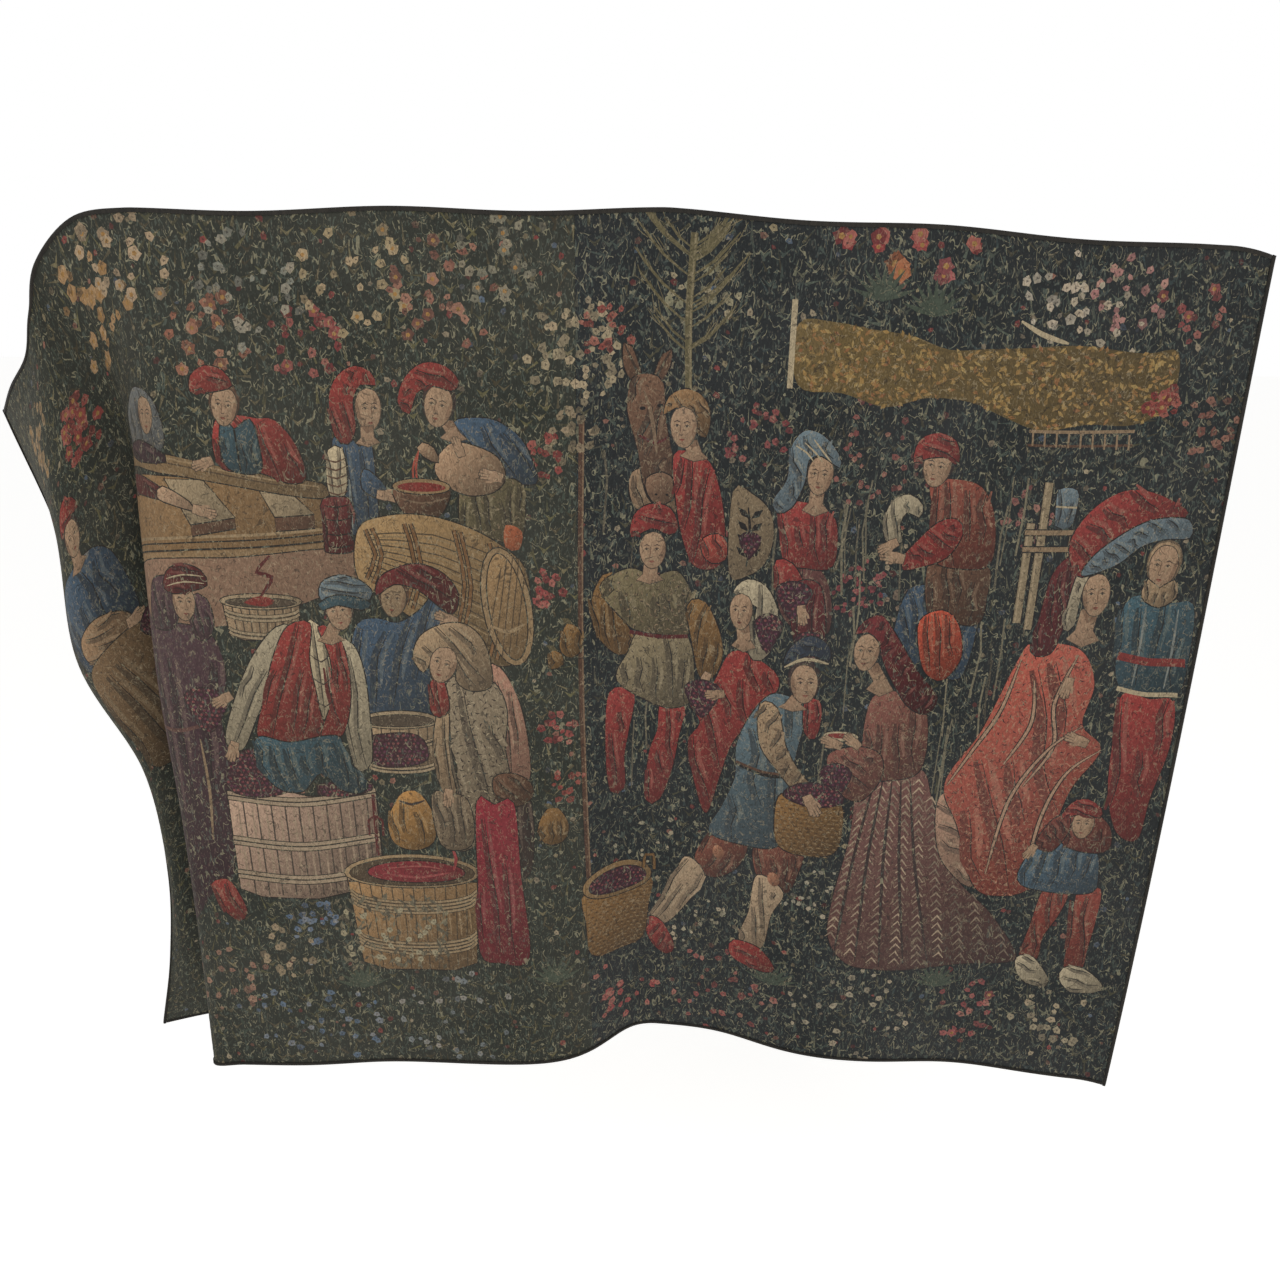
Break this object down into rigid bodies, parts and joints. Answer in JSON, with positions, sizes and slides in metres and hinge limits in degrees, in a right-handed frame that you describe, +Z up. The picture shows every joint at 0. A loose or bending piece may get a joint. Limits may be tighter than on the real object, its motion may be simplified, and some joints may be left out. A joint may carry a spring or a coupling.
{
  "type": "tapestry wall hanging",
  "caption": "Large lined woven picture tapestry with bound edges, hung by sewn ring tabs on stand-off wall hooks, its left end slipped off and folded back behind it.",
  "frame": {"origin": "middle of the back face of the middle wall plate, on the wall", "axes": "+X to the right along the wall as seen by someone facing the picture, +Y into the wall, +Z up"},
  "size_m": [2.0075, 0.2357, 1.5568],
  "materials": {
    "tapestry": "dark green and brown woven picture with red, ochre and blue-grey figures, matt ribbed weave",
    "lining": "unbleached plain cotton",
    "binding": "near-black narrow woven edge binding",
    "webbing": "natural cotton webbing with a herringbone weave",
    "brass": "worn brass wire",
    "iron": "black powder coat, satin",
    "screw": "zinc-plated steel",
    "plug": "grey nylon"
  },
  "bodies": {
    "wall": {"wall_hook_1": "iron", "hook_screw_1_upper": "screw", "wall_plug_1_upper": "plug", "hook_screw_1_lower": "screw", "wall_plug_1_lower": "plug", "wall_hook_2": "iron", "hook_screw_2_upper": "screw", "wall_plug_2_upper": "plug", "hook_screw_2_lower": "screw", "wall_plug_2_lower": "plug", "wall_hook_3": "iron", "hook_screw_3_upper": "screw", "wall_plug_3_upper": "plug", "hook_screw_3_lower": "screw", "wall_plug_3_lower": "plug", "wall_hook_4": "iron", "hook_screw_4_upper": "screw", "wall_plug_4_upper": "plug", "hook_screw_4_lower": "screw", "wall_plug_4_lower": "plug", "wall_hook_5": "iron", "hook_screw_5_upper": "screw", "wall_plug_5_upper": "plug", "hook_screw_5_lower": "screw", "wall_plug_5_lower": "plug"},
    "rings": {"hanging_ring_1": "brass", "hanging_ring_2": "brass", "hanging_ring_3": "brass", "hanging_ring_4": "brass", "hanging_ring_5": "brass"},
    "hanging": {"woven_panel_left": "tapestry", "woven_panel_right": "tapestry", "lining": "lining", "header_tape": "webbing", "edge_binding_top": "binding", "edge_binding_bottom": "binding", "edge_binding_left": "binding", "edge_binding_right": "binding", "ring_tab_1": "webbing", "ring_tab_2": "webbing", "ring_tab_3": "webbing", "ring_tab_4": "webbing", "ring_tab_5": "webbing", "ring_tab_6": "webbing"},
    "loose_ring": {"hanging_ring_6": "brass"}
  },
  "joints": [
    {"name": "lift_off", "type": "slide", "parent": "wall", "child": "rings", "axis": [0, 0, 1], "range_m": [0, 0.012]},
    {"name": "swing", "type": "hinge", "parent": "rings", "child": "hanging", "pos_m": [0, -0.08, -0.0414], "axis": [-1, 0, 0], "range_deg": [0, 4]},
    {"name": "loose_ring_swing", "type": "hinge", "parent": "hanging", "child": "loose_ring", "pos_m": [-1.01759, -0.05729, -0.28952], "axis": [0.5983, -0.5264, 0.6041], "range_deg": [-10, 60]}
  ]
}
